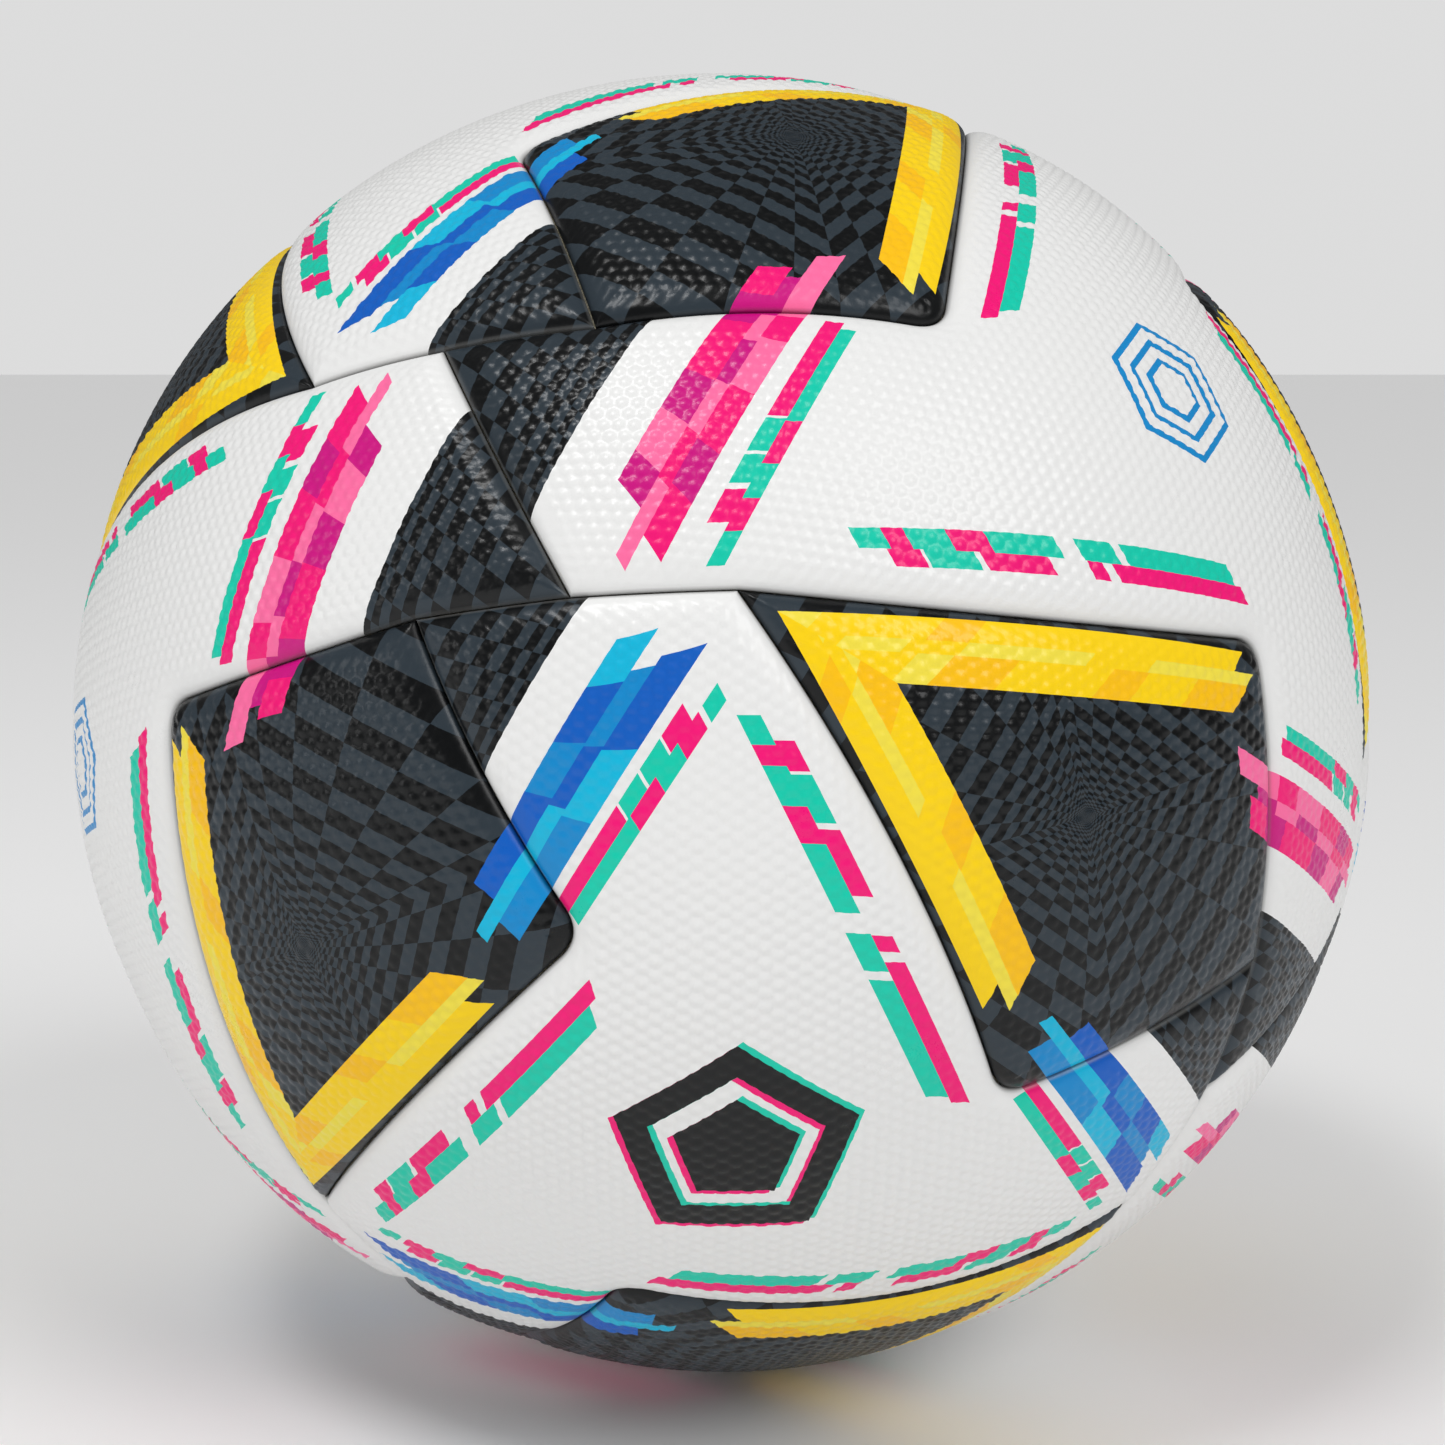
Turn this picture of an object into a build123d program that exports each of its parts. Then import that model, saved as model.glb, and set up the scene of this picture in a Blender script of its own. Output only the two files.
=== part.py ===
"""A size 5 football: twenty bonded cover panels, each with its foam pad, on a fabric carcass
that holds an air bladder with a needle valve. Millimetres, +Z up, origin at the ball's centre."""

from build123d import *
from math import cos, radians, sin
import os

# Ball, from the outside in. Every radius is measured from the ball's centre.
ball_radius = 110.0
skin = 1.2
pad_thickness = 2.8
carcass_thickness = 1.0
bladder_thickness = 0.8

# Cover panels.
seam_round = 2.2
rim = 1.5

# Seam network, in degrees. A black panel lies between two poles: its tip is near one pole and its
# blunt end near the next, and its shoulders stand either side of the line between them.
tip_from_pole = 20.3
blunt_from_pole = 12.8
shoulder_from_pole = 29.1
shoulder_aside = 20.6
shoulder_round = 5.5
long_side_bulge = 2.0
short_side_bulge = 0.7
# Two white panels of one kind and one of the other meet at two junctions beside each pole.
junction_from_pole = 11.9
junction_turn = -32.0

# Valve, on the axis of one white panel.
neck_radius = 4.5
neck_sunk = 0.5
neck_clearance = 0.1
neck_inside = 12.0
neck_round = 1.0
flange_radius = 12.0
flange_thickness = 1.0
patch_radius = 15.0
patch_thickness = 0.4
core_radius = 2.5
core_length = 15.0
core_head_radius = 3.4
core_head_depth = 1.5
needle_radius = 1.1
needle_depth = 12.0
needle_funnel = 0.4

# How the ball is turned: about X, then about its own Y, then about its own Z.
attitude = Location((0, 0, 0), (62.1, -16.4, -31.7))

# Worked out from the above.
pad_outer = ball_radius - skin
carcass_outer = pad_outer - pad_thickness
bladder_outer = carcass_outer - carcass_thickness
bladder_inner = bladder_outer - bladder_thickness
neck_top = ball_radius - neck_sunk
wedge_bottom = 0.35 * ball_radius
wedge_top = 1.05 * ball_radius

os.makedirs("parts", exist_ok=True)


def direction(along, aside):
    """The unit direction `along` degrees from +X towards +Z, and `aside` degrees out of that plane."""
    return Vector(
        cos(radians(aside)) * cos(radians(along)),
        sin(radians(aside)),
        cos(radians(aside)) * sin(radians(along)),
    )


def near_pole(from_pole, turn):
    """The unit direction `from_pole` degrees off +Z, turned about +Z from +X."""
    return Vector(
        sin(radians(from_pole)) * cos(radians(turn)),
        sin(radians(from_pole)) * sin(radians(turn)),
        cos(radians(from_pole)),
    )


# Each kind of panel is made in a frame of its own: the ball's centre is its origin, and +Z goes out
# through the middle of the panel.
centre = (0, 0, 0)
middle_of_black = (90 - tip_from_pole + blunt_from_pole) / 2
black_frame = Plane(
    centre, x_dir=direction(middle_of_black + 90, 0), z_dir=direction(middle_of_black, 0)
)
white_a_frame = Plane(centre, x_dir=(-1, -1, 2), z_dir=(1, 1, 1))
white_b_frame = Plane(centre, x_dir=(-1, 1, 2), z_dir=(1, -1, 1))
white_a_axis = Axis(centre, white_a_frame.z_dir)
white_b_axis = Axis(centre, white_b_frame.z_dir)

# Corners of the seam network as unit directions, anticlockwise round each panel. A white panel's
# list is one third of its outline. It runs across the black panels beside it, which are cut out.
tip = direction(90 - tip_from_pole, 0)
blunt = direction(blunt_from_pole, 0)
junction = near_pole(junction_from_pole, junction_turn)
far_junction = near_pole(junction_from_pole, junction_turn + 180)
black_corners = [
    tip,
    direction(shoulder_from_pole, -shoulder_aside),
    blunt,
    direction(shoulder_from_pole, shoulder_aside),
]
white_a_third = [
    blunt.rotate(white_a_axis, -120),
    far_junction,
    junction,
    tip,
    black_frame.z_dir,
]
white_b_third = [
    tip,
    junction,
    blunt.rotate(white_b_axis, 120),
    black_frame.z_dir.rotate(white_b_axis, 120),
]


def inset_corners(corners, inset):
    """A panel's corners on the sphere, each moved in until it is `inset` mm from both its sides."""
    moved = []
    for i, corner in enumerate(corners):
        before = corners[i - 1].cross(corner).normalized()
        after = corner.cross(corners[(i + 1) % len(corners)]).normalized()
        share = sin(inset / ball_radius) / (1 + before.dot(after))
        moved.append((corner + (before + after) * share).normalized())
    return moved


def flattened(corners, frame, height):
    """Where the rays to the corners cross the plane `height` out from the centre of a frame."""
    local = [frame.to_local_coords(corner) for corner in corners]
    return [(point.X / point.Z * height, point.Y / point.Z * height) for point in local]


def black_wedge(inset):
    """A cone from the ball's centre through a black panel's outline, in the panel's frame."""
    corners = inset_corners(black_corners, inset)
    with BuildPart() as wedge:
        for height in (wedge_bottom, wedge_top):
            scale = height / ball_radius
            top, left, bottom, right = flattened(corners, black_frame, height)
            with BuildSketch(Plane.XY.offset(height)):
                with BuildLine():
                    SagittaArc(top, right, long_side_bulge * scale)
                    SagittaArc(right, bottom, short_side_bulge * scale)
                    SagittaArc(bottom, left, short_side_bulge * scale)
                    SagittaArc(left, top, long_side_bulge * scale)
                make_face()
                across = vertices().sort_by(Axis.Y)
                fillet((across[0], across[-1]), (shoulder_round - inset) * scale)
        loft(ruled=True)
    return wedge.part


def white_wedge(frame, corners):
    """A cone from the ball's centre through a white panel's corners, in the panel's frame."""
    with BuildPart() as wedge:
        for height in (wedge_bottom, wedge_top):
            with BuildSketch(Plane.XY.offset(height)):
                with BuildLine():
                    Polyline(*flattened(corners, frame, height), close=True)
                make_face()
        loft(ruled=True)
    return wedge.part


def between_spheres(piece, inner, outer):
    """A slice of a piece between two spheres, whose own seams lie on the far side from +Z."""
    with BuildPart() as shell:
        add(piece)
        Sphere(outer, rotation=(0, 90, 0), mode=Mode.INTERSECT)
        Sphere(inner, rotation=(0, 90, 0), mode=Mode.SUBTRACT)
    return shell.part


def black_slice(inset, inner, outer):
    """A black panel's outline, moved in by `inset`, between two spheres."""
    return between_spheres(black_wedge(inset), inner, outer)


def white_slice(frame, third, inset, inner, outer):
    """A white panel's outline, moved in by `inset` from every panel beside it, between two spheres."""
    axis = Axis(centre, frame.z_dir)
    corners = [corner.rotate(axis, 120 * arm) for arm in range(3) for corner in third]
    block = between_spheres(white_wedge(frame, inset_corners(corners, inset)), inner, outer)
    neighbour = black_wedge(-inset)
    beside = frame.location.inverse() * black_frame.location
    with BuildPart() as panel:
        add(block)
        for arm in range(3):
            with Locations(Location(centre, (0, 0, 120 * arm)) * beside):
                add(neighbour, mode=Mode.SUBTRACT)
    return panel.part


def cover_panel(block, pad):
    """A cover panel: a skin with rounded edges, turned down all round its pad."""
    with BuildPart() as cover:
        add(block)
        outside = faces().filter_by(GeomType.SPHERE).sort_by(lambda face: face.radius)[-1]
        fillet(outside.edges(), seam_round)
        add(pad, mode=Mode.SUBTRACT)
    return cover.part


def post(radius, bottom, top):
    """A round post along +Z between two distances from the ball's centre."""
    with BuildPart() as round_post:
        with BuildSketch(Plane.XY.offset(bottom)):
            Circle(radius)
        extrude(amount=top - bottom)
    return round_post.part


def less(piece, *tools):
    """A piece with other pieces' room cut out of it."""
    with BuildPart() as cut:
        add(piece)
        for tool in tools:
            add(tool, mode=Mode.SUBTRACT)
    return cut.part


def write_piece(piece, name, place):
    """Puts one piece in its place on the ball and writes it."""
    with BuildPart() as placed:
        with Locations(place):
            add(piece)
    placed.part.label = name
    export_step(placed.part, f"parts/{name}.step")


# The pattern repeats about its poles. A place is where a panel's frame goes when the X and Z poles
# are turned to another pair of poles.
poles = (Vector(1, 0, 0), Vector(0, 1, 0), Vector(0, 0, 1))
flips = ((1, 1), (1, -1), (-1, 1), (-1, -1))


def places(frame, turns):
    """Every place of one kind of panel: four flips at each of its turns of the poles."""
    return [
        attitude
        * Plane(centre, x_dir=poles[turn] * flip_x, z_dir=poles[(turn + 2) % 3] * flip_z).location
        * frame.location
        for turn in range(turns)
        for flip_x, flip_z in flips
    ]


# Black panels: a foam pad inside a cover whose turned-down rim meets the carcass.
black_pad = black_slice(rim, carcass_outer, pad_outer)
black_cover = cover_panel(black_slice(0, carcass_outer, ball_radius), black_pad)
for number, place in enumerate(places(black_frame, 3), 1):
    write_piece(black_cover, f"black_panel_{number:02d}", place)
    write_piece(black_pad, f"black_foam_pad_{number:02d}", place)


def white_pad_and_cover(frame, third):
    """The foam pad and the cover of one kind of white panel."""
    pad = white_slice(frame, third, rim, carcass_outer, pad_outer)
    block = white_slice(frame, third, 0, carcass_outer, ball_radius)
    return pad, cover_panel(block, pad)


# White panels of the two kinds.
white_a_pad, white_a_cover = white_pad_and_cover(white_a_frame, white_a_third)
white_b_pad, white_b_cover = white_pad_and_cover(white_b_frame, white_b_third)
white_a_places = places(white_a_frame, 1)
for number, place in enumerate(places(white_b_frame, 1), 1):
    write_piece(white_b_cover, f"white_panel_b_{number}", place)
    write_piece(white_b_pad, f"white_foam_pad_b_{number}", place)
for number, place in enumerate(white_a_places[:-1], 1):
    write_piece(white_a_cover, f"white_panel_a_{number}", place)
    write_piece(white_a_pad, f"white_foam_pad_a_{number}", place)

# The last white panel of the first kind is pierced for the valve, and its pad also makes room for
# the reinforcing patch under it.
valve_place = white_a_places[-1]
neck_room = post(neck_radius + neck_clearance, 0, 2 * ball_radius)
patch_disc = post(patch_radius, bladder_inner, ball_radius)
patch = between_spheres(patch_disc, carcass_outer, carcass_outer + patch_thickness)
write_piece(less(white_a_cover, neck_room), "white_valve_panel", valve_place)
write_piece(less(white_a_pad, neck_room, patch), "white_valve_foam_pad", valve_place)
write_piece(less(patch, neck_room), "valve_patch", valve_place)

# Carcass and bladder.
with BuildPart() as carcass:
    Sphere(carcass_outer, rotation=(0, 90, 0))
    Sphere(bladder_outer, rotation=(0, 90, 0), mode=Mode.SUBTRACT)
write_piece(less(carcass.part, neck_room), "carcass", valve_place)
with BuildPart() as bladder:
    Sphere(bladder_outer, rotation=(0, 90, 0))
    Sphere(bladder_inner, rotation=(0, 90, 0), mode=Mode.SUBTRACT)
write_piece(less(bladder.part, post(neck_radius, 0, 2 * ball_radius)), "bladder", valve_place)

# Valve: a moulded housing bonded inside the bladder by its flange, and a soft core that seals
# round the inflating needle.
flange_disc = post(flange_radius, bladder_inner / 2, ball_radius)
flange = between_spheres(flange_disc, bladder_inner - flange_thickness, bladder_inner)
with BuildPart() as valve_housing:
    with BuildSketch(Plane.XY.offset(bladder_inner - neck_inside)):
        Circle(neck_radius)
    extrude(amount=neck_top - bladder_inner + neck_inside)
    fillet(edges().sort_by(Axis.Z)[0], neck_round)
    add(flange)
    with Locations(Plane.XY.offset(neck_top)):
        CounterBoreHole(core_radius, core_head_radius, core_head_depth)
write_piece(valve_housing.part, "valve_housing", valve_place)

with BuildPart() as valve_core:
    with BuildSketch(Plane.XY.offset(neck_top - core_length)):
        Circle(core_radius)
    extrude(amount=core_length)
    with BuildSketch(Plane.XY.offset(neck_top - core_head_depth)):
        Circle(core_head_radius)
    extrude(amount=core_head_depth)
    with Locations(Plane.XY.offset(neck_top)):
        Hole(needle_radius, depth=needle_depth)
    mouth = edges().filter_by(GeomType.CIRCLE).group_by(Axis.Z)[-1].sort_by(lambda edge: edge.radius)
    chamfer(mouth[0], needle_funnel)
write_piece(valve_core.part, "valve_core", valve_place)
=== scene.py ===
"""The looks of a size 5 football: puffed and embossed cover panels with their print, the foam pads under
them, and the materials of what lies inside. Lengths are in millimetres, and directions are unit vectors
from the ball's middle, until a mesh, a light or the camera is placed, which is in metres.

Every kind of panel is shaped once, in the seam network's own frame, and is then turned to its places."""

import math

import bpy
import numpy as np
from mathutils import Matrix, Vector
from mathutils.geometry import delaunay_2d_cdt


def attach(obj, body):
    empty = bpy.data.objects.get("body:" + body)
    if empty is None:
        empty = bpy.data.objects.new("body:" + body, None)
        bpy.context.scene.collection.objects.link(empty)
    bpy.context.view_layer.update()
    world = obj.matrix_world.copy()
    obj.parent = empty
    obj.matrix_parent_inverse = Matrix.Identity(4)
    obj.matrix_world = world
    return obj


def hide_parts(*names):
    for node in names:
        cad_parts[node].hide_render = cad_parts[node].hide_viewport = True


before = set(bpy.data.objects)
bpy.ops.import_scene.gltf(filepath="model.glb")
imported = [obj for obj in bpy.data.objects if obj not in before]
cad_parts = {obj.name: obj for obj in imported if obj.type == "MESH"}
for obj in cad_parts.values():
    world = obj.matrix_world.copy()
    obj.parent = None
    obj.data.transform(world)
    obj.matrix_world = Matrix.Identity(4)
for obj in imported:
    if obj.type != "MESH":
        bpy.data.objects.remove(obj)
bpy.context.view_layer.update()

MM = 0.001
ball_radius = 110.0

# Seam network, as in the part's source: angles in degrees, and how far its curves leave great circles.
tip_from_pole = 20.3
blunt_from_pole = 12.8
shoulder_from_pole = 29.1
shoulder_aside = 20.6
shoulder_cut = 5.0
long_side_bulge = 2.0
short_side_bulge = 0.7
junction_from_pole = 11.9
junction_turn = -32.0
attitude = (
    Matrix.Rotation(math.radians(62.1), 3, "X")
    @ Matrix.Rotation(math.radians(-16.4), 3, "Y")
    @ Matrix.Rotation(math.radians(-31.7), 3, "Z")
)

# Cover panels: the skin, the depth down to the carcass, the rolled edge at a seam and the crown behind it.
# A panel with no hole counts as panel_reach away from one.
skin = 1.2
panel_depth = 4.0
edge_width = 4.6
edge_drop = 2.0
crown_width = 9.0
crown_drop = 0.75
panel_reach = 100.0

# Studs embossed in the covers. Their wave runs from -0.5 to 1: a stud starts to rise at stud_foot, and is
# at its full height stud_rise further up the wave.
emboss_pitch = 2.15
emboss_height = 0.2
emboss_margin = 1.8
stud_foot = -0.32
stud_rise = 0.5

# The hole for the valve, and its edge.
valve_hole = 4.7
valve_edge_width = 1.4
valve_edge_drop = 0.8

# Mesh density. Points stand on rings that follow the outline, and on a staggered grid inside them.
outline_step = 0.6
half_gap = 0.12
ring_insets = (half_gap, 0.3, 0.6, 1.0, 1.45, 1.95, 2.5, 3.1, 3.7)
grid_step = 0.52
coarse_insets = (half_gap, 1.0, 2.2, 4.2)
coarse_step = 4.0
valve_edge_step = 0.4
valve_widenings = (0.0, 0.15, 0.35, 0.6, 0.9, 1.3)
coarse_valve_widenings = (0.0, 1.5)

# A ring's points count while this share of its inset away from the outline. The grid keeps these shares of
# its step away from the hole and the rings, and a triangle is kept when its middle is just outside the hole.
ring_tolerance = 0.985
hole_clearance = 0.6
ring_clearance = 0.7
just_inside = 0.999

# Print, laid out on the charts further down, whose unit is the ball's radius. The yellow V has two sloping
# arms, of which one is shorter. No stripe on a white panel is printed within chart_margin of where two
# charts meet, and least_depth keeps the far side of the ball off a chart's horizon.
tip_end_a = 0.078
tip_end_b = 0.206
stripe_tilt = 0.055
flank_slope = math.radians(62)
v_slope_along = 0.46
v_slope_down = 0.888
v_short_by = 0.115
checks_middle = (-0.005, -0.035)
checks_shrink = 1.13
checks_start = 60
checks_per_side = 6.5
tip_checks_shrink = 1.16
tip_checks_along = 26
tip_checks_slant = 5
tip_checks_beyond = 0.06
least_beyond = 0.01
chart_margin = 0.012
least_depth = 0.05

# Shine of the two kinds of cover.
white_gloss = 0.35
black_gloss = 0.3

# Badges, in millimetres from the middle of a white panel: the plate's reach, the inside and outside of each
# outline, and how far the coloured edges are shifted.
badge_plate = 7.5
badge_ring = (10.5, 14.5)
badge_shift = (0.8, 0.56)
hexagon_outlines = ((9.4, 10.4), (6.6, 7.6), (3.8, 4.8))

# Studio. Each light has a kind, a place in metres, a power, and a width: an angle for the sun, metres for the
# others. The sky has one strength as light, one in reflections and one as the backdrop.
lights = {
    "key": ("SUN", (1.1, -1.2, 1.3), 0.8, math.radians(25)),
    "overhead": ("AREA", (-0.4, -0.7, 1.35), 6, 0.35),
    "side": ("AREA", (-1.5, -0.8, 0.5), 2, 0.5),
}
ambient_sky = 0.54
mirrored_sky = 0.16
backdrop_sky = 0.72
half_floor = 60.0
camera_radii_away = 4.014
camera_elevation = math.radians(8)
camera_lens = 62.95


# ---------------------------------------------------------------- seam network
def direction(along, aside):
    """The unit direction `along` degrees from +X towards +Z, and `aside` degrees out of that plane."""
    a, b = math.radians(along), math.radians(aside)
    return np.array([math.cos(b) * math.cos(a), math.sin(b), math.cos(b) * math.sin(a)])


def near_pole(from_pole, turn):
    """The unit direction `from_pole` degrees off +Z, turned about +Z from +X."""
    a, t = math.radians(from_pole), math.radians(turn)
    return np.array([math.sin(a) * math.cos(t), math.sin(a) * math.sin(t), math.cos(a)])


def unit(v):
    """Vectors scaled to length 1."""
    return v / np.linalg.norm(v, axis=-1, keepdims=True)


def arc(start, end, bulge=0.0):
    """Directions along a great circle from start up to, but not at, end, pushed aside by `bulge` mm."""
    angle = math.acos(float(start @ end))
    count = max(2, round(angle * ball_radius / outline_step))
    t = np.arange(count)[:, None] / count
    line = (np.sin((1 - t) * angle) * start + np.sin(t * angle) * end) / math.sin(angle)
    aside = unit(np.cross(start, end))
    return unit(line + aside * 4 * t * (1 - t) * bulge / ball_radius)


def rounded(line, corner, cut):
    """A line of directions with a stretch either side of one of its points replaced by a curve."""
    steps = max(2, round(cut / outline_step))
    before, after = line[corner - steps], line[corner + steps]
    t = np.linspace(0, 1, 2 * steps + 1)[1:-1, None]
    curve = (1 - t) ** 2 * before + 2 * t * (1 - t) * line[corner] + t**2 * after
    return np.vstack([line[: corner - steps + 1], unit(curve), line[corner + steps :]])


tip = direction(90 - tip_from_pole, 0)
blunt = direction(blunt_from_pole, 0)
junction = near_pole(junction_from_pole, junction_turn)
far_junction = near_pole(junction_from_pole, junction_turn + 180)
middle_of_black = (90 - tip_from_pole + blunt_from_pole) / 2
turn_a = np.array([[0, 0, 1], [1, 0, 0], [0, 1, 0]], float)
turn_b = np.array([[0, -1, 0], [0, 0, -1], [1, 0, 0]], float)
across_mirror = np.array([1, -1, 1])


def black_side():
    """One side of the black panel, from its tip round its +Y shoulder towards its blunt end."""
    shoulder = direction(shoulder_from_pole, shoulder_aside)
    long_side = arc(tip, shoulder, -long_side_bulge)
    short_side = arc(shoulder, blunt, -short_side_bulge)
    return rounded(np.vstack([long_side, short_side]), len(long_side), shoulder_cut)


side = black_side()
side_back = np.vstack([blunt, side[:0:-1]])
black_outline = np.vstack([side * across_mirror, side_back])
blunt_a = blunt @ turn_a
blunt_b = turn_b @ blunt
white_a_third = np.vstack([arc(blunt_a, far_junction), arc(far_junction, junction), arc(junction, tip), side])
mirrored_back = (side_back * across_mirror) @ turn_b.T
white_b_third = np.vstack([arc(tip, junction), arc(junction, blunt_b), mirrored_back])
white_a_outline = np.vstack([white_a_third, white_a_third @ turn_a.T, white_a_third @ turn_a])
white_b_outline = np.vstack([white_b_third, white_b_third @ turn_b.T, white_b_third @ turn_b])


# ---------------------------------------------------------------- charts
def panel_axes(middle, up):
    """Three directions of a panel's own chart: right, up and out."""
    out = unit(np.array(middle, float))
    right = unit(np.cross(np.array(up, float), out))
    return right, np.cross(out, right), out


def to_chart(directions, axes):
    """Directions as millimetres on a flat chart that keeps distances from the panel's middle."""
    right, up, out = axes
    angle = np.arccos(np.clip(directions @ out, -1, 1))
    flat = np.column_stack([directions @ right, directions @ up])
    length = np.maximum(np.linalg.norm(flat, axis=1), 1e-12)
    return flat / length[:, None] * (angle * ball_radius)[:, None]


def from_chart(points, axes):
    """Chart points as directions."""
    right, up, out = axes
    length = np.maximum(np.linalg.norm(points, axis=1), 1e-12)
    angle = length / ball_radius
    flat = points / length[:, None] * np.sin(angle)[:, None]
    return flat[:, :1] * right + flat[:, 1:] * up + np.cos(angle)[:, None] * out


def nearest(points, line, chunk=3000):
    """The distance in millimetres from each direction to the nearest point of a line of them."""
    found = []
    for i in range(0, len(points), chunk):
        dots = points[i : i + chunk] @ line.T
        found.append(np.arccos(np.clip(dots.max(axis=1), -1, 1)) * ball_radius)
    return np.concatenate(found)


# ---------------------------------------------------------------- panel meshes
def ring(outline, inset):
    """The outline moved `inset` mm into its panel."""
    along = unit(np.roll(outline, -1, axis=0) - np.roll(outline, 1, axis=0))
    inward = unit(np.cross(outline, along))
    return unit(outline + inward * math.tan(inset / ball_radius))


def triangles(points, loops):
    """Triangles between chart points, inside the first loop and outside any other."""
    edges = [(a, b) for loop in loops[1:] for a, b in zip(loop, loop[1:] + loop[:1])]
    made = delaunay_2d_cdt([Vector(p) for p in points], edges, [loops[0]], 1, 1e-7)
    return np.array([list(p) for p in made[0]]), [tuple(f) for f in made[2]]


def hex_grid(outline_chart, step):
    """A staggered grid of chart points over a panel's box."""
    low, high = outline_chart.min(axis=0), outline_chart.max(axis=0)
    rows = np.arange(low[1], high[1], step * math.sqrt(3) / 2)
    columns = np.arange(low[0], high[0], step)
    x, y = np.meshgrid(columns, rows)
    x = x + (np.arange(len(rows)) % 2)[:, None] * step / 2
    return np.column_stack([x.ravel(), y.ravel()])


def inside(points, polygon):
    """Which chart points lie inside a closed polygon."""
    found = np.zeros(len(points), bool)
    x, y = points[:, 0], points[:, 1]
    for (x0, y0), (x1, y1) in zip(polygon, np.roll(polygon, -1, axis=0)):
        if y0 == y1:
            continue
        crosses = (y0 > y) != (y1 > y)
        found ^= crosses & (x < (x1 - x0) * (y - y0) / (y1 - y0) + x0)
    return found


def emboss(chart):
    """A staggered lattice of low flat-topped studs, from 0 to 1."""
    k = 2 * math.pi / (emboss_pitch * math.sqrt(3) / 2)
    total = 0
    for turn in (0, 60, 120):
        a = math.radians(turn)
        total = total + np.cos(k * (chart[:, 0] * math.cos(a) + chart[:, 1] * math.sin(a)))
    t = np.clip((total / 3 - stud_foot) / stud_rise, 0, 1)
    return t * t * (3 - 2 * t)


def rolled(distance, width, drop):
    """How far a quarter-round edge of that width has dropped at a distance in from it."""
    past = np.clip(1 - distance / width, 0, 1)
    return drop * (1 - np.sqrt(1 - past**2))


class Layer:
    """One skin of a panel: points on the unit sphere, the triangles between them, and how far the panel's
    outside has dropped below the ball's radius at each."""

    def __init__(self, outline, axes, hole, insets, step, hole_widenings):
        rings = [ring(outline, insets[0])]
        for inset in insets[1:]:
            moved = ring(outline, inset)
            rings.append(moved[nearest(moved, outline) > inset * ring_tolerance])
        flat_outline = to_chart(outline, axes)
        grid = hex_grid(flat_outline, step)
        grid = grid[inside(grid, flat_outline)]
        if hole:
            grid = grid[np.hypot(*grid.T) > hole + hole_widenings[-1] + step * hole_clearance]
        grid = from_chart(grid, axes)
        grid = grid[nearest(grid, outline) > insets[-1] + step * ring_clearance]
        rim_count = len(rings[0])
        self.loops = [list(range(rim_count))]
        circles = []
        if hole:
            count = round(2 * math.pi * hole / valve_edge_step)
            turns = np.linspace(0, 2 * math.pi, count, endpoint=False)
            circle = np.column_stack([np.cos(turns), np.sin(turns)])
            circles = [from_chart(circle * (hole + wider), axes) for wider in hole_widenings]
            self.loops.append(list(range(rim_count, rim_count + count)))
        points = np.vstack([rings[0], *circles, *rings[1:], grid])
        self.chart, faces = triangles(to_chart(points, axes), self.loops)
        middles = np.array([self.chart[list(f)].mean(axis=0) for f in faces])
        self.faces = [f for f, far in zip(faces, np.hypot(*middles.T)) if far > hole * just_inside]
        self.ways = from_chart(self.chart, axes)
        self.from_seam = nearest(self.ways, outline)
        self.from_seam[:rim_count] = insets[0]
        self.from_hole = np.hypot(*self.chart.T) - hole if hole else np.full(len(self.chart), panel_reach)
        self.drop = (
            rolled(self.from_seam, edge_width, edge_drop)
            + crown_drop * np.exp(-self.from_seam / crown_width)
            + rolled(self.from_hole, valve_edge_width, valve_edge_drop)
        )


def shell(name, outer, outer_drop, inner, inner_drop):
    """A closed mesh between two layers of a panel. Each drop is in millimetres below the ball's radius."""
    first = len(outer.ways)
    faces = list(outer.faces)
    faces += [tuple(first + i for i in reversed(f)) for f in inner.faces]
    for number, loop in enumerate(outer.loops):
        for i, j in zip(loop, loop[1:] + loop[:1]):
            wall = (i, first + i, first + j, j)
            faces.append(wall[::-1] if number else wall)
    ways_out = np.vstack([outer.ways, inner.ways])
    drops = [np.broadcast_to(d, len(layer.ways)) for d, layer in ((outer_drop, outer), (inner_drop, inner))]
    height = ball_radius - np.concatenate(drops)
    mesh = bpy.data.meshes.new(name)
    mesh.from_pydata((ways_out * height[:, None] * MM).tolist(), [], faces)
    mesh.polygons.foreach_set("use_smooth", [True] * len(mesh.polygons))
    way = mesh.attributes.new("way", "FLOAT_VECTOR", "POINT")
    way.data.foreach_set("vector", ways_out.astype(np.float32).ravel())
    seam = mesh.attributes.new("seam", "FLOAT", "POINT")
    seam.data.foreach_set("value", np.concatenate([outer.from_seam, inner.from_seam]).astype(np.float32))
    mesh.update()
    return mesh


def panel_meshes(name, outline, axes, hole=0.0):
    """The cover of a panel, embossed and rolled over at its edges, and the foam pad under it."""
    fine = Layer(outline, axes, hole, ring_insets, grid_step, valve_widenings)
    coarse = Layer(outline, axes, hole, coarse_insets, coarse_step, coarse_valve_widenings)
    fade = np.clip((np.minimum(fine.from_seam, fine.from_hole) - emboss_margin / 2) / emboss_margin, 0, 1)
    embossed = fine.drop + emboss_height * (1 - emboss(fine.chart)) * fade
    cover = shell(f"{name}_cover", fine, embossed, coarse, coarse.drop + skin)
    pad = shell(f"{name}_pad", coarse, coarse.drop + skin, coarse, panel_depth)
    return cover, pad


# ---------------------------------------------------------------- where the print falls
# The print is laid out on flat charts seen from the ball's middle, in shares of the ball's radius. The arm
# chart lies over the nearest pole of the seam network, and the others over a black panel's middle.
def turned_copies(points):
    """The points as they are, and with their axes changed round once and twice."""
    return np.stack([points, points[:, [1, 2, 0]], points[:, [2, 0, 1]]])


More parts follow.
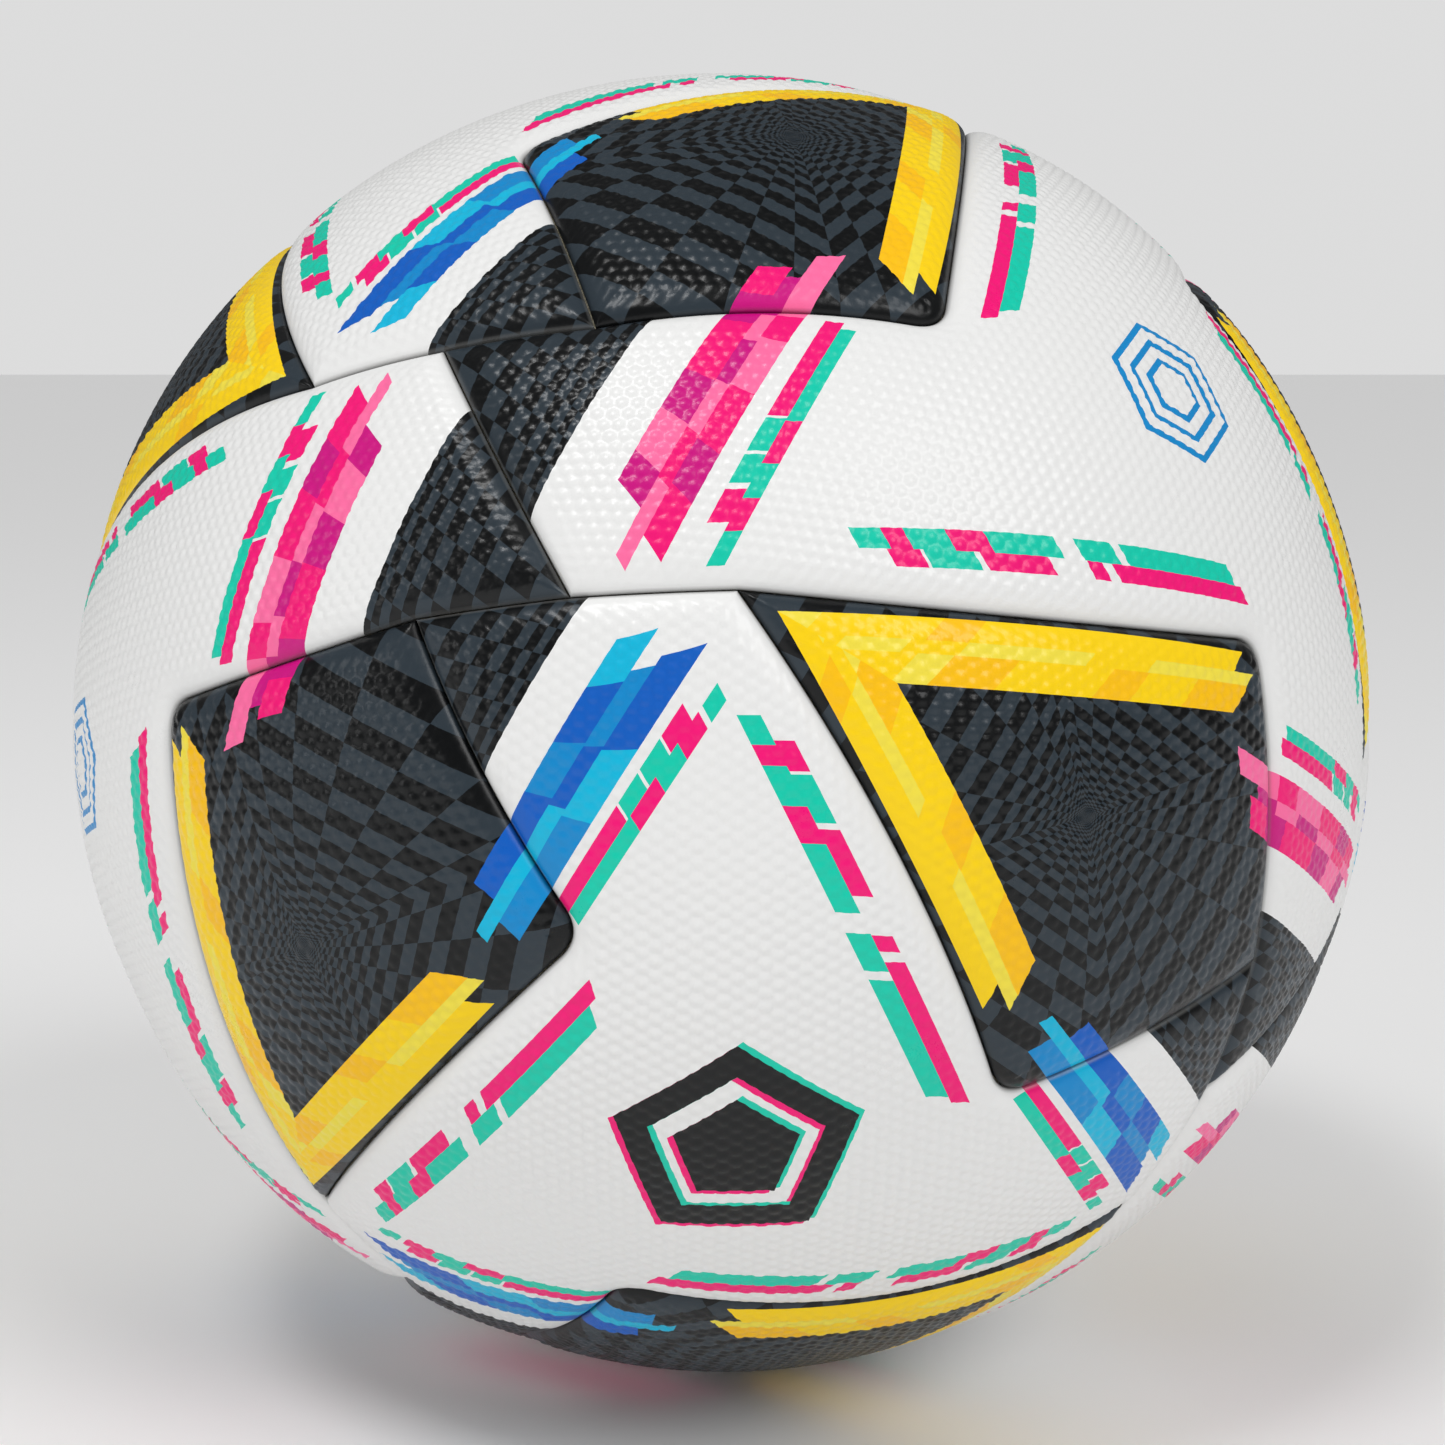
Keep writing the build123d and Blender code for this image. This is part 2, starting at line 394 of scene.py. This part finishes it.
def arm_chart(points):
    """(across the stripes, along the stripes, how far into the chart) from the pole nearest each point of a
    white panel. The last is nought where one chart stops and the next begins."""
    turned = turned_copies(points)
    q = turned[np.argmax(turned[:, :, 2], axis=0), np.arange(len(points))]
    along = q[:, 1] / q[:, 2]
    nearness = np.sort(turned[:, :, 2], axis=0)
    return q[:, 0] / q[:, 2] + stripe_tilt * along, along, nearness[2] - nearness[1]


def black_chart(points):
    """(across, towards the tip) from the middle of the black panel."""
    a = math.radians(middle_of_black)
    out = np.array([math.cos(a), 0, math.sin(a)])
    to_tip = np.array([-math.sin(a), 0, math.cos(a)])
    depth = np.maximum(points @ out, least_depth)
    return points[:, 1] / depth, (points @ to_tip) / depth


def flank_chart(points):
    """(along, away from) the long side of the black panel nearest each point of a white panel, and how far
    into the chart the point is."""
    turned = turned_copies(points)
    q = turned[np.argmin(turned[:, :, 1], axis=0), np.arange(len(points))]
    across, to_tip = black_chart(q)
    across = np.abs(across)
    c, s = math.cos(flank_slope), math.sin(flank_slope)
    nearness = np.sort(turned[:, :, 1], axis=0)
    return c * across - s * to_tip, s * across + c * to_tip, nearness[1] - nearness[0]


def set_vectors(mesh, name, *columns):
    """Stores up to three numbers on each point of a mesh for its material."""
    stored = mesh.attributes.new(name, "FLOAT_VECTOR", "POINT")
    values = np.zeros((len(mesh.vertices), 3), np.float32)
    for i, column in enumerate(columns):
        values[:, i] = column
    stored.data.foreach_set("vector", values.ravel())


def ways(mesh):
    """The directions of a mesh's points in the seam network's own frame."""
    values = np.empty(len(mesh.vertices) * 3, np.float32)
    mesh.attributes["way"].data.foreach_get("vector", values)
    return values.reshape(-1, 3).astype(float)


# ---------------------------------------------------------------- node arithmetic
class Term:
    """A number on its way through a node tree, so that shader arithmetic reads as arithmetic."""

    def __init__(self, tree, socket):
        self.tree = tree
        self.socket = socket

    def apply(self, operation, *others):
        node = self.tree.nodes.new("ShaderNodeMath")
        node.operation = operation
        for socket, value in zip(node.inputs, (self, *others)):
            if isinstance(value, Term):
                self.tree.links.new(value.socket, socket)
            else:
                socket.default_value = value
        return Term(self.tree, node.outputs[0])

    def __add__(self, other):
        return self.apply("ADD", other)

    def __sub__(self, other):
        return self.apply("SUBTRACT", other)

    def __mul__(self, other):
        return self.apply("MULTIPLY", other)

    def __truediv__(self, other):
        return self.apply("DIVIDE", other)

    def __gt__(self, other):
        return self.apply("GREATER_THAN", other)

    def __lt__(self, other):
        return self.apply("LESS_THAN", other)

    def __rsub__(self, other):
        return self * -1 + other

    def floor(self):
        return self.apply("FLOOR")

    def size(self):
        return self.apply("ABSOLUTE")

    def sign(self):
        return self.apply("SIGN")

    def steps(self, ratio):
        """How many times the ratio goes into the number, on a logarithmic scale."""
        return self.apply("LOGARITHM", ratio)

    def either(self, other):
        return self.apply("MAXIMUM", other)

    def between(self, low, high):
        return (self > low) * (self < high)

    def odd(self):
        """1 where the whole number is odd, else 0."""
        return (self * 0.5).apply("FRACT") > 0.25


def linear(red, green, blue):
    """A screen colour from 0 to 255 as the linear colour a shader takes."""
    parts = [c / 255 for c in (red, green, blue)]
    return tuple(c / 12.92 if c <= 0.04045 else ((c + 0.055) / 1.055) ** 2.4 for c in parts) + (1.0,)


class Finish:
    """A material being built: its node tree, and the colour laid down so far."""

    def __init__(self, name, colour, roughness):
        self.material = bpy.data.materials.new(name)
        self.material.use_nodes = True
        self.tree = self.material.node_tree
        self.shader = self.tree.nodes["Principled BSDF"]
        self.shader.inputs["Roughness"].default_value = roughness
        self.shader.inputs["Base Color"].default_value = colour
        self.colour = colour

    def node(self, kind, **settings):
        made = self.tree.nodes.new(kind)
        for key, value in settings.items():
            setattr(made, key, value)
        return made

    def stored(self, name):
        """The three numbers that a mesh stores under a name."""
        attribute = self.node("ShaderNodeAttribute", attribute_name=name)
        parts = self.node("ShaderNodeSeparateXYZ")
        self.tree.links.new(attribute.outputs["Vector"], parts.inputs[0])
        return [Term(self.tree, socket) for socket in parts.outputs]

    def stored_value(self, name):
        return Term(self.tree, self.node("ShaderNodeAttribute", attribute_name=name).outputs["Fac"])

    def position(self):
        return self.node("ShaderNodeTexCoord").outputs["Object"]

    def noise(self, scale, detail, roughness=0.5):
        made = self.node("ShaderNodeTexNoise")
        made.inputs["Scale"].default_value = scale
        made.inputs["Detail"].default_value = detail
        made.inputs["Roughness"].default_value = roughness
        self.tree.links.new(self.position(), made.inputs["Vector"])
        return Term(self.tree, made.outputs["Fac"])

    def lay(self, colour, where):
        """Lays a colour, a constant or a socket, over the colour so far, where a mask says."""
        mix = self.node("ShaderNodeMix", data_type="RGBA")
        sockets = {"Factor": where.socket, "A": self.colour, "B": colour}
        inputs = {"Factor": mix.inputs[0], "A": mix.inputs[6], "B": mix.inputs[7]}
        for key, value in sockets.items():
            if isinstance(value, bpy.types.NodeSocket):
                self.tree.links.new(value, inputs[key])
            else:
                inputs[key].default_value = value
        self.colour = mix.outputs[2]

    def blocks(self, along, start, runs, where):
        """Lays a row of flat blocks: each run is a colour, or None for a gap, and where it ends."""
        end = runs[-1][1]
        ramp = self.node("ShaderNodeValToRGB")
        ramp.color_ramp.interpolation = "CONSTANT"
        stops = ramp.color_ramp.elements
        position = 0.0
        for i, (colour, stop) in enumerate(runs):
            element = stops[i] if i < 2 else stops.new(position)
            element.position = position
            element.color = (*colour[:3], 1) if colour else (0, 0, 0, 0)
            position = (stop - start) / (end - start)
        share = (along - start) / (end - start)
        self.tree.links.new(share.socket, ramp.inputs[0])
        shown = Term(self.tree, ramp.outputs["Alpha"]) * where * share.between(0, 1)
        self.lay(ramp.outputs["Color"], shown)

    def finish(self, roughness=None, height=None, height_mm=0.0, **constants):
        """Joins up the colour, and if given the roughness and a bump, and sets the shader's constants."""
        if isinstance(self.colour, bpy.types.NodeSocket):
            self.tree.links.new(self.colour, self.shader.inputs["Base Color"])
        if roughness is not None:
            self.tree.links.new(roughness.socket, self.shader.inputs["Roughness"])
        if height is not None:
            bump = self.node("ShaderNodeBump")
            bump.inputs["Strength"].default_value = 1.0
            bump.inputs["Distance"].default_value = height_mm * MM
            self.tree.links.new(height.socket, bump.inputs["Height"])
            self.tree.links.new(bump.outputs[0], self.shader.inputs["Normal"])
        for key, value in constants.items():
            self.shader.inputs[key.replace("_", " ")].default_value = value
        return self.material


white = linear(236, 236, 235)
black = linear(5, 7, 9)
slate = linear(46, 56, 64)
pink = linear(248, 0, 120)
magenta = linear(208, 0, 130)
light_pink = linear(255, 110, 165)
dark_blue = linear(0, 94, 194)
mid_blue = linear(0, 138, 206)
cyan = linear(0, 184, 222)
yellow = linear(255, 214, 0)
orange = linear(255, 196, 0)
pale_yellow = linear(246, 226, 70)
teal = linear(0, 205, 175)
# The grey of the painted shade laid along the seams of the white panels, standing in for the shadow in the
# gap between panels.
seam_shade_grey = linear(120, 120, 118)


def stripes(finish, across, along, lanes, lean_start, lean_gain):
    """Side-by-side rows of blocks with leaning ends. The lean can change along the rows."""
    lean = along * lean_gain + lean_start
    for low, high, start, *runs in lanes:
        leaning = along - lean * (across - (low + high) / 2)
        finish.blocks(leaning, start, runs, across.between(low, high))


def checks(finish, column, row, where):
    """Alternate slate and black blocks."""
    finish.lay(black, where)
    finish.lay(slate, where * (column.floor() + row.floor()).odd())


def surface(finish, seam, seam_shade_colour, gloss):
    """What every cover shares: painted shade along the seam, fine leather grain, and uneven gloss."""
    # Painted shade: within about 0.6 mm of a seam the colour is pulled most of the way to the seam's shade
    # colour, which is grey on white panels and black on black ones.
    finish.lay(seam_shade_colour, (1 - seam * 1.6).either(0) * 0.7)
    grain = finish.noise(2600, 4, 0.6)
    blotches = finish.noise(45, 3, 0.6)
    return finish.finish(
        roughness=blotches * 0.16 + (grain * 0.08 + 0.19),
        height=grain,
        height_mm=0.02,
        Coat_Weight=0.06,
        Coat_Roughness=0.15,
        Specular_IOR_Level=gloss,
    )


# Rows of blocks: a row's two sides, where it starts, and each block's colour, or None for a gap, and end.
pink_stripe = (
    (0.162, 0.206, 0.037, (magenta, 0.085), (light_pink, 0.155), (magenta, 0.225), (pink, 0.33),
     (magenta, 0.39), (pink, 0.45)),
    (0.206, 0.226, -0.045, (light_pink, 0.07), (pink, 0.15), (light_pink, 0.23), (magenta, 0.31),
     (light_pink, 0.37), (magenta, 0.45)),
    (0.226, 0.263, -0.01, (pink, 0.07), (magenta, 0.14), (pink, 0.235), (light_pink, 0.33),
     (pink, 0.385), (light_pink, 0.53)),
)
blue_stripe = (
    (0.272, 0.311, 0.115, (cyan, 0.19), (dark_blue, 0.28), (mid_blue, 0.365), (dark_blue, 0.54)),
    (0.311, 0.335, 0.15, (mid_blue, 0.27), (dark_blue, 0.37), (cyan, 0.62)),
    (0.335, 0.378, 0.105, (dark_blue, 0.26), (cyan, 0.375), (mid_blue, 0.59)),
)
pink_dashes = (
    (0.292, 0.318, 0.06, (pink, 0.11), (None, 0.12), (teal, 0.165), (None, 0.17), (teal, 0.225),
     (None, 0.23), (pink, 0.42)),
    (0.318, 0.34, 0.01, (teal, 0.06), (pink, 0.11), (teal, 0.165), (pink, 0.235), (teal, 0.42)),
)
blue_dashes = (
    (0.395, 0.42, 0.175, (pink, 0.225), (None, 0.23), (teal, 0.28), (None, 0.285), (teal, 0.335),
     (None, 0.34), (pink, 0.53)),
    (0.42, 0.445, 0.13, (teal, 0.165), (None, 0.175), (pink, 0.225), (teal, 0.28), (pink, 0.345),
     (teal, 0.53)),
)
flank_dashes = (
    (0.285, 0.31, -0.26, (pink, -0.215), (None, -0.21), (teal, -0.14), (None, -0.13), (pink, -0.03),
     (None, 0.03), (pink, 0.055), (None, 0.07), (pink, 0.33)),
    (0.31, 0.34, -0.315, (teal, -0.27), (pink, -0.24), (teal, -0.18), (pink, -0.125), (teal, -0.02),
     (None, 0.01), (teal, 0.07), (None, 0.085), (teal, 0.30)),
)
yellow_stripe = (
    (0.186, 0.217, -0.45, (pale_yellow, -0.37), (yellow, -0.20), (orange, -0.14), (yellow, 0.30)),
    (0.168, 0.186, -0.45, (yellow, -0.33), (pale_yellow, -0.24), (yellow, -0.16), (pale_yellow, 0.02),
     (yellow, 0.12), (pale_yellow, 0.325)),
    (0.128, 0.168, -0.45, (yellow, -0.24), (pale_yellow, -0.19), (orange, -0.10), (yellow, 0.04),
     (orange, 0.10), (yellow, 0.19), (orange, 0.30)),
)

# How much the ends of blocks lean at nought along a row, and how much more for each unit along it.
pink_lean = (-0.5, 2.7)
blue_lean = (-1.3, 3.0)
dash_lean = (0.6, 0.0)
flank_lean = (-0.6, 0.0)
yellow_lean = (0.9, 0.0)


def white_cover(name, tip_end, stripe, lean, dashes, badge):
    """White, with a stripe and dashes beside each black tip, dashes along the black panels, and a badge."""
    finish = Finish(name, white, 0.34)
    across, along, into_arm = finish.stored("arm")
    flank_along, flank_out, into_flank = finish.stored("flank")
    within_arm = across * (into_arm > chart_margin)
    stripes(finish, within_arm, along, stripe, *lean)
    stripes(finish, within_arm, along, dashes, *dash_lean)
    within_flank = flank_out * (into_flank > chart_margin)
    stripes(finish, within_flank, flank_along, flank_dashes, *flank_lean)
    column = (tip_end + tip_checks_beyond - across).either(least_beyond).steps(tip_checks_shrink)
    row = along * tip_checks_along + across * tip_checks_slant
    checks(finish, column, row, across < tip_end)
    badge(finish, *finish.stored("badge"))
    return surface(finish, finish.stored_value("seam"), seam_shade_grey, white_gloss)


def polygon_reach(x, y, sides, turn):
    """How far out a point lies, measured square to the nearest side of a regular polygon."""
    reach = None
    for i in range(sides):
        a = math.radians(turn + 360 * i / sides)
        out = x * math.cos(a) + y * math.sin(a)
        reach = reach.either(out) if reach else out
    return reach


def pentagon_badge(finish, x, y, shown):
    """A plain five-sided plate and ring with offset coloured edges."""
    for colour, way in ((pink, 1), (teal, -1), (black, 0)):
        reach = polygon_reach(x + way * badge_shift[0], y + way * badge_shift[1], 5, 54)
        finish.lay(colour, shown * ((reach < badge_plate) + reach.between(*badge_ring)))


def hexagon_badge(finish, x, y, shown):
    """Three plain nested six-sided outlines."""
    reach = polygon_reach(x, y, 6, 0)
    inner, middle, outer = (reach.between(*outline) for outline in hexagon_outlines)
    finish.lay(mid_blue, shown * (inner + middle + outer))


def black_cover(name):
    """Square rings of checks that shrink into a point, a yellow V, and the ends of the stripes. round_it
    runs from -1 to 7 round the square, two to a side."""
    finish = Finish(name, black, 0.3)
    across, to_tip, _ = finish.stored("chart")
    x, y = across - checks_middle[0], to_tip - checks_middle[1]
    reach = x.size().either(y.size())
    sideways = x.size() > y.size()
    right_or_left = x.sign() * (y / reach) + 2 - x.sign() * 2
    above_or_below = 4 - y.sign() * 2 - y.sign() * (x / reach)
    round_it = sideways * right_or_left + (1 - sideways) * above_or_below
    column = reach.steps(checks_shrink) + checks_start
    checks(finish, column, (round_it + 1) * (checks_per_side / 2), reach > 0)
    across_v = across.size() * v_slope_down + to_tip * v_slope_along
    along_v = across.size() * v_slope_along - to_tip * v_slope_down + (across < 0) * v_short_by
    stripes(finish, across_v, along_v, yellow_stripe, *yellow_lean)
    over, along, aside = finish.stored("arm")
    stripes(finish, over * (aside > 0), along, pink_stripe, *pink_lean)
    stripes(finish, over * (aside < 0), along, blue_stripe, *blue_lean)
    # Black here is the painted shade laid along this panel's seams.
    return surface(finish, finish.stored_value("seam"), black, black_gloss)


# ---------------------------------------------------------------- materials inside the ball
def foam(name):
    """Fine closed cells."""
    finish = Finish(name, linear(226, 222, 205), 0.85)
    cells = finish.node("ShaderNodeTexVoronoi")
    cells.inputs["Scale"].default_value = 900
    finish.tree.links.new(finish.position(), cells.inputs["Vector"])
    depth = Term(finish.tree, cells.outputs["Distance"])
    finish.lay(linear(196, 188, 160), (1 - depth.size()) * 0.35)
    finish.lay(linear(205, 196, 160), finish.noise(30, 3) * 0.3)
    return finish.finish(roughness=depth * 0.15 + 0.78, height=depth, height_mm=0.25)


def woven(name, warp, weft, pitch):
    """Plain weave: two families of threads that pass over each other by turns."""
    finish = Finish(name, warp, 0.8)
    parts = finish.node("ShaderNodeSeparateXYZ")
    finish.tree.links.new(finish.position(), parts.inputs[0])
    x, y, z = (Term(finish.tree, socket) for socket in parts.outputs)
    wave = 2 * math.pi / (pitch * MM)
    across_threads = (x * 0.8 + z * 0.6) * wave
    along_threads = (y * 0.9 + z * 0.44) * wave
    over = across_threads.apply("SINE") * along_threads.apply("SINE")
    finish.lay(weft, (over > 0) * 0.6)
    finish.lay(linear(150, 140, 110), finish.noise(40, 4) * 0.3)
    fuzz = finish.noise(3000, 2)
    threads = over + fuzz * 0.4
    return finish.finish(roughness=fuzz * 0.2 + 0.7, height=threads, height_mm=0.15, Sheen_Weight=0.3)


def rubber(name, colour, worn, roughness):
    """Moulded rubber with a fine grain and paler scuffs."""
    finish = Finish(name, colour, roughness)
    grain = finish.noise(1800, 4, 0.6)
    scuffs = finish.noise(70, 5, 0.65)
    finish.lay(worn, (scuffs - 0.5).either(0) * 1.6)
    uneven = grain * 0.2 + scuffs * 0.15 + roughness - 0.15
    return finish.finish(roughness=uneven, height=grain, height_mm=0.05)


# ---------------------------------------------------------------- the covers
up_here = np.array(attitude.transposed() @ Vector((0, 0, 1)))
black_axes = panel_axes(direction(middle_of_black, 0), tip)
white_a_axes = panel_axes((1, 1, 1), up_here)
white_b_axes = panel_axes((1, -1, 1), up_here)


def store_white_charts(mesh, mirror):
    """Stores a white panel's charts. The second kind is read as the first through a mirror."""
    points = ways(mesh) * mirror
    set_vectors(mesh, "arm", *arm_chart(points))
    set_vectors(mesh, "flank", *flank_chart(points))


def store_black_charts(mesh):
    """Stores a black panel's charts. The last number of the arm chart tells its two sides apart."""
    points = ways(mesh)
    set_vectors(mesh, "chart", *black_chart(points))
    over = np.abs(points[:, 1]) / points[:, 0]
    along = points[:, 2] / points[:, 0]
    set_vectors(mesh, "arm", over + stripe_tilt * along, along, points[:, 1])


def placed(turn, flip_x, flip_z):
    """The rotation that takes a panel to one of its copies."""
    poles = [Vector((1, 0, 0)), Vector((0, 1, 0)), Vector((0, 0, 1))]
    images = (
        poles[turn] * flip_x,
        poles[(turn + 1) % 3] * flip_x * flip_z,
        poles[(turn + 2) % 3] * flip_z,
    )
    return attitude @ Matrix(images).transposed()


def add_piece(name, mesh, rotation, material, node):
    """A turned copy of a mesh as a piece of the ball, in place of a CAD node."""
    mesh = mesh.copy()
    mesh.name = name
    mesh.transform(rotation.to_4x4())
    mesh.materials.append(material)
    piece = bpy.data.objects.new(name, mesh)
    bpy.context.scene.collection.objects.link(piece)
    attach(piece, "root")
    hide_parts(node)
    return piece


def add_panel(kind, number, meshes, rotation, material):
    """A cover and its pad in place of the two CAD nodes of the same panel."""
    cover_mesh, pad_mesh = meshes
    cover_name, pad_name, pad_node = (kind.replace("panel", w) + number for w in ("cover", "pad", "foam_pad"))
    add_piece(pad_name, pad_mesh, rotation, pad_foam, pad_node)
    return add_piece(cover_name, cover_mesh, rotation, material, kind + number)


def set_badge(cover, mesh, axes, shown):
    """Stores where each point of a cover lies from the panel's middle, and whether it shows a badge."""
    chart = to_chart(ways(mesh), axes)
    set_vectors(cover.data, "badge", chart[:, 0], chart[:, 1], float(shown))


flips = ((1, 1), (1, -1), (-1, 1), (-1, -1))
pad_foam = foam("pad_foam")
black_meshes = panel_meshes("black", black_outline, black_axes)
store_black_charts(black_meshes[0])
black_print = black_cover("black_print")
for turn in range(3):
    for i, flip in enumerate(flips, turn * len(flips) + 1):
        add_panel("black_panel_", f"{i:02d}", black_meshes, placed(turn, *flip), black_print)

white_a_meshes = panel_meshes("white_a", white_a_outline, white_a_axes)
white_b_meshes = panel_meshes("white_b", white_b_outline, white_b_axes)
valve_meshes = panel_meshes("white_valve", white_a_outline, white_a_axes, valve_hole)
store_white_charts(white_a_meshes[0], 1)
store_white_charts(white_b_meshes[0], across_mirror)
store_white_charts(valve_meshes[0], 1)
white_a_print = white_cover(
    "white_print_a", tip_end_a, pink_stripe, pink_lean, pink_dashes, hexagon_badge
)
white_b_print = white_cover(
    "white_print_b", tip_end_b, blue_stripe, blue_lean, blue_dashes, pentagon_badge
)
for i, flip in enumerate(flips, 1):
    rotation = placed(0, *flip)
    cover = add_panel("white_panel_b_", str(i), white_b_meshes, rotation, white_b_print)
    set_badge(cover, white_b_meshes[0], white_b_axes, i < 3)
for i, flip in enumerate(flips[:3], 1):
    rotation = placed(0, *flip)
    cover = add_panel("white_panel_a_", str(i), white_a_meshes, rotation, white_a_print)
    set_badge(cover, white_a_meshes[0], white_a_axes, i != 2)
rotation = placed(0, *flips[3])
cover = add_panel("white_valve_panel", "", valve_meshes, rotation, white_a_print)
set_badge(cover, valve_meshes[0], white_a_axes, False)


# ---------------------------------------------------------------- inside the ball
inner_finishes = {
    "carcass": woven("carcass_weave", linear(222, 216, 196), linear(196, 188, 164), 1.1),
    "valve_patch": woven("patch_weave", linear(90, 90, 88), linear(60, 60, 60), 0.8),
    "bladder": rubber("bladder_rubber", linear(40, 44, 48), linear(90, 94, 96), 0.55),
    "valve_housing": rubber("housing_rubber", linear(24, 24, 25), linear(80, 80, 80), 0.5),
    "valve_core": rubber("core_rubber", linear(30, 30, 32), linear(95, 95, 95), 0.42),
}
for name, material in inner_finishes.items():
    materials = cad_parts[name].data.materials
    materials.clear()
    materials.append(material)


# ---------------------------------------------------------------- stage, light and camera
def put(name, data, place):
    """A light or camera at a place, facing the ball's middle."""
    thing = bpy.data.objects.new(name, data)
    thing.location = place
    thing.rotation_euler = (-Vector(place)).to_track_quat("-Z", "Y").to_euler()
    bpy.context.scene.collection.objects.link(thing)
    return thing


def add_floor():
    mesh = bpy.data.meshes.new("floor")
    corners = [(x * half_floor, y * half_floor, 0) for x, y in ((-1, -1), (1, -1), (1, 1), (-1, 1))]
    mesh.from_pydata(corners, [], [(0, 1, 2, 3)])
    mesh.materials.append(Finish("floor_paint", linear(250, 250, 250), 0.7).finish())
    floor = bpy.data.objects.new("floor", mesh)
    floor.location.z = -ball_radius * MM
    bpy.context.scene.collection.objects.link(floor)


def add_light(name, kind, place, power, width):
    lamp = bpy.data.lights.new(name, kind)
    lamp.energy = power
    if kind == "SUN":
        lamp.angle = width
    else:
        lamp.size = width
    put(name, lamp, place)


def add_sky():
    """White from every side, dimmer in reflections and brighter as the backdrop."""
    world = bpy.data.worlds.new("studio")
    bpy.context.scene.world = world
    world.use_nodes = True
    sky = world.node_tree
    rays = sky.nodes.new("ShaderNodeLightPath")
    background = sky.nodes["Background"]
    background.inputs["Color"].default_value = (1, 1, 1, 1)
    background.inputs["Strength"].default_value = ambient_sky
    shown = background.outputs[0]
    for ray, strength in (("Is Glossy Ray", mirrored_sky), ("Is Camera Ray", backdrop_sky)):
        other = sky.nodes.new("ShaderNodeBackground")
        other.inputs["Color"].default_value = (1, 1, 1, 1)
        other.inputs["Strength"].default_value = strength
        choice = sky.nodes.new("ShaderNodeMixShader")
        sky.links.new(rays.outputs[ray], choice.inputs[0])
        sky.links.new(shown, choice.inputs[1])
        sky.links.new(other.outputs[0], choice.inputs[2])
        shown = choice.outputs[0]
    sky.links.new(shown, sky.nodes["World Output"].inputs["Surface"])


def add_camera():
    lens = bpy.data.cameras.new("camera")
    lens.sensor_width = 36
    lens.lens = camera_lens
    lens.clip_start = 0.01
    away = camera_radii_away * ball_radius * MM
    place = (0, -away * math.cos(camera_elevation), away * math.sin(camera_elevation))
    bpy.context.scene.camera = put("camera", lens, place)


add_floor()
for name, light in lights.items():
    add_light(name, *light)
add_sky()
add_camera()
bpy.context.scene.view_settings.view_transform = "Standard"
